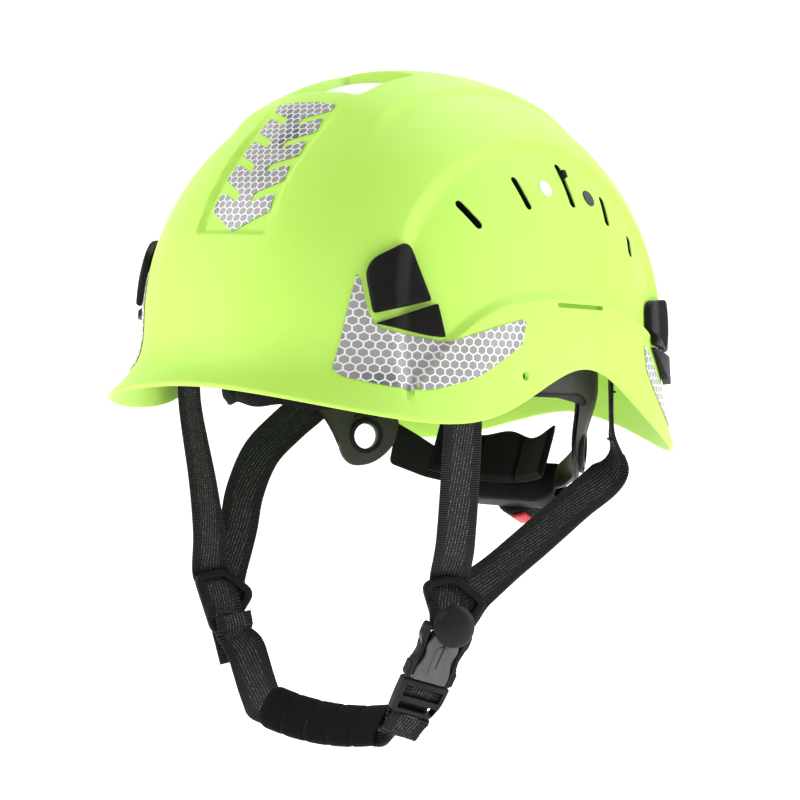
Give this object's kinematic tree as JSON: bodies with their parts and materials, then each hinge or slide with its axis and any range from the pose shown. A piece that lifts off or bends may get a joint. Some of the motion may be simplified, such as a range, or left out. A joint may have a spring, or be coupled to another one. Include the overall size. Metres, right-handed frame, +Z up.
{
  "type": "arborist helmet",
  "caption": "Vented climbing helmet with a short brim, lamp clips, reflective films, an adjustable head cradle and a four-point chin strap with a side-release buckle and padded chin sleeve.",
  "frame": {"origin": "centre of the head ring at brow-band height, where the wearer's head sits", "axes": "+Z up, the brim looks along -Y, +X is the wearer's left"},
  "size_m": [0.2116, 0.301, 0.3243],
  "materials": {
    "shell_green": "fine matte moulded plastic, fluorescent yellow-green",
    "black_plastic": "fine spark-eroded grain, satin",
    "harness_plastic": "satin moulded plastic",
    "reflective_film": "silver-grey honeycomb reflective film with pale cell walls",
    "webbing": "ribbed black polyester webbing with a raised pattern",
    "pad_fabric": "black woven fabric, stitched in channels",
    "dial_red": "red inserts",
    "white_plastic": "plain white, no print"
  },
  "bodies": {
    "root": {"anchor_front_left": "black_plastic", "anchor_front_right": "black_plastic", "anchor_rear_left": "black_plastic", "anchor_rear_right": "black_plastic", "brow_band": "harness_plastic", "brow_pad": "pad_fabric", "buckle_socket": "black_plastic", "clip_front_left_base": "black_plastic", "clip_front_right_base": "black_plastic", "clip_rear_left_base": "black_plastic", "clip_rear_right_base": "black_plastic", "crown_pad": "pad_fabric", "crown_strap_a": "webbing", "crown_strap_b": "webbing", "divider_cap": "black_plastic", "divider_left": "black_plastic", "divider_right": "black_plastic", "front_reflector": "reflective_film", "harness_panel_left": "harness_plastic", "harness_panel_right": "harness_plastic", "nape_band_left": "harness_plastic", "nape_band_right": "harness_plastic", "nape_housing": "black_plastic", "nape_pad": "pad_fabric", "outer_shell": "shell_green", "rear_reflector_left": "reflective_film", "rear_reflector_right": "reflective_film", "side_reflector_left": "reflective_film", "side_reflector_right": "reflective_film", "strap_front_left": "webbing", "strap_front_right": "webbing", "strap_rear_left": "webbing", "strap_rear_right": "webbing", "top_plate": "white_plastic", "vent_marker_open_left": "white_plastic", "vent_marker_open_right": "white_plastic", "vent_marker_shut_left": "harness_plastic", "vent_marker_shut_right": "harness_plastic"},
    "dial": {"nape_dial": "black_plastic", "dial_grip_1": "dial_red", "dial_grip_2": "dial_red", "dial_grip_3": "dial_red", "dial_grip_4": "dial_red", "dial_pinion": "black_plastic"},
    "rack_left": {"nape_rack_left": "harness_plastic"},
    "rack_right": {"nape_rack_right": "harness_plastic"},
    "plug": {"buckle_plug": "black_plastic", "chin_strap_left": "webbing", "chin_pad": "pad_fabric", "chin_strap_right": "webbing"},
    "prong_left": {"buckle_prong_left": "black_plastic"},
    "prong_right": {"buckle_prong_right": "black_plastic"},
    "shutter_left": {"vent_shutter_left": "black_plastic", "vent_lever_left": "black_plastic"},
    "shutter_right": {"vent_shutter_right": "black_plastic", "vent_lever_right": "black_plastic"},
    "flap_front_left": {"clip_front_left_flap": "black_plastic"},
    "flap_rear_left": {"clip_rear_left_flap": "black_plastic"},
    "flap_front_right": {"clip_front_right_flap": "black_plastic"},
    "flap_rear_right": {"clip_rear_right_flap": "black_plastic"}
  },
  "joints": [
    {"name": "dial_spin", "type": "hinge", "parent": "root", "child": "dial", "pos_m": [0, 0.10178, -0.04057], "axis": [0, 0.9368, -0.3499], "range_deg": [-200, 150]},
    {"name": "rack_left_slide", "type": "slide", "parent": "root", "child": "rack_left", "axis": [1, 0, 0], "range_m": [-0.0092, 0.007]},
    {"name": "rack_right_slide", "type": "slide", "parent": "root", "child": "rack_right", "axis": [-1, 0, 0], "range_m": [-0.0092, 0.007]},
    {"name": "buckle_slide", "type": "slide", "parent": "root", "child": "plug", "axis": [-0.4024, -0.0441, -0.9144], "range_m": [0, 0.02]},
    {"name": "prong_left_press", "type": "hinge", "parent": "plug", "child": "prong_left", "pos_m": [0.06906, -0.04917, -0.12795], "axis": [0.7994, -0.5038, -0.3274], "range_deg": [0, 4], "stiffness_Nm_per_rad": 0.05},
    {"name": "prong_right_press", "type": "hinge", "parent": "plug", "child": "prong_right", "pos_m": [0.05925, -0.06815, -0.12271], "axis": [-0.7994, 0.5038, 0.3274], "range_deg": [0, 4], "stiffness_Nm_per_rad": 0.05},
    {"name": "shutter_left_slide", "type": "slide", "parent": "root", "child": "shutter_left", "axis": [0.44, 0, -0.898], "range_m": [0, 0.0065]},
    {"name": "shutter_right_slide", "type": "slide", "parent": "root", "child": "shutter_right", "axis": [-0.44, 0, -0.898], "range_m": [0, 0.0065]},
    {"name": "flap_front_left_lift", "type": "hinge", "parent": "root", "child": "flap_front_left", "pos_m": [0.07022, -0.10757, 0.07281], "axis": [-0.4977, -0.8402, -0.215], "range_deg": [0, 10], "stiffness_Nm_per_rad": 0.1},
    {"name": "flap_front_right_lift", "type": "hinge", "parent": "root", "child": "flap_front_right", "pos_m": [-0.07022, -0.10757, 0.07281], "axis": [-0.4977, 0.8402, 0.215], "range_deg": [0, 10], "stiffness_Nm_per_rad": 0.1},
    {"name": "flap_rear_left_lift", "type": "hinge", "parent": "root", "child": "flap_rear_left", "pos_m": [0.08995, 0.08162, 0.05502], "axis": [0.3636, -0.9292, 0.066], "range_deg": [0, 10], "stiffness_Nm_per_rad": 0.1},
    {"name": "flap_rear_right_lift", "type": "hinge", "parent": "root", "child": "flap_rear_right", "pos_m": [-0.08995, 0.08162, 0.05502], "axis": [0.3636, 0.9292, -0.066], "range_deg": [0, 10], "stiffness_Nm_per_rad": 0.1}
  ],
  "couplings": [
    {"joint": "rack_left_slide", "follows": "dial_spin", "m_per_rad": 0.0026},
    {"joint": "rack_right_slide", "follows": "dial_spin", "m_per_rad": 0.0026}
  ]
}
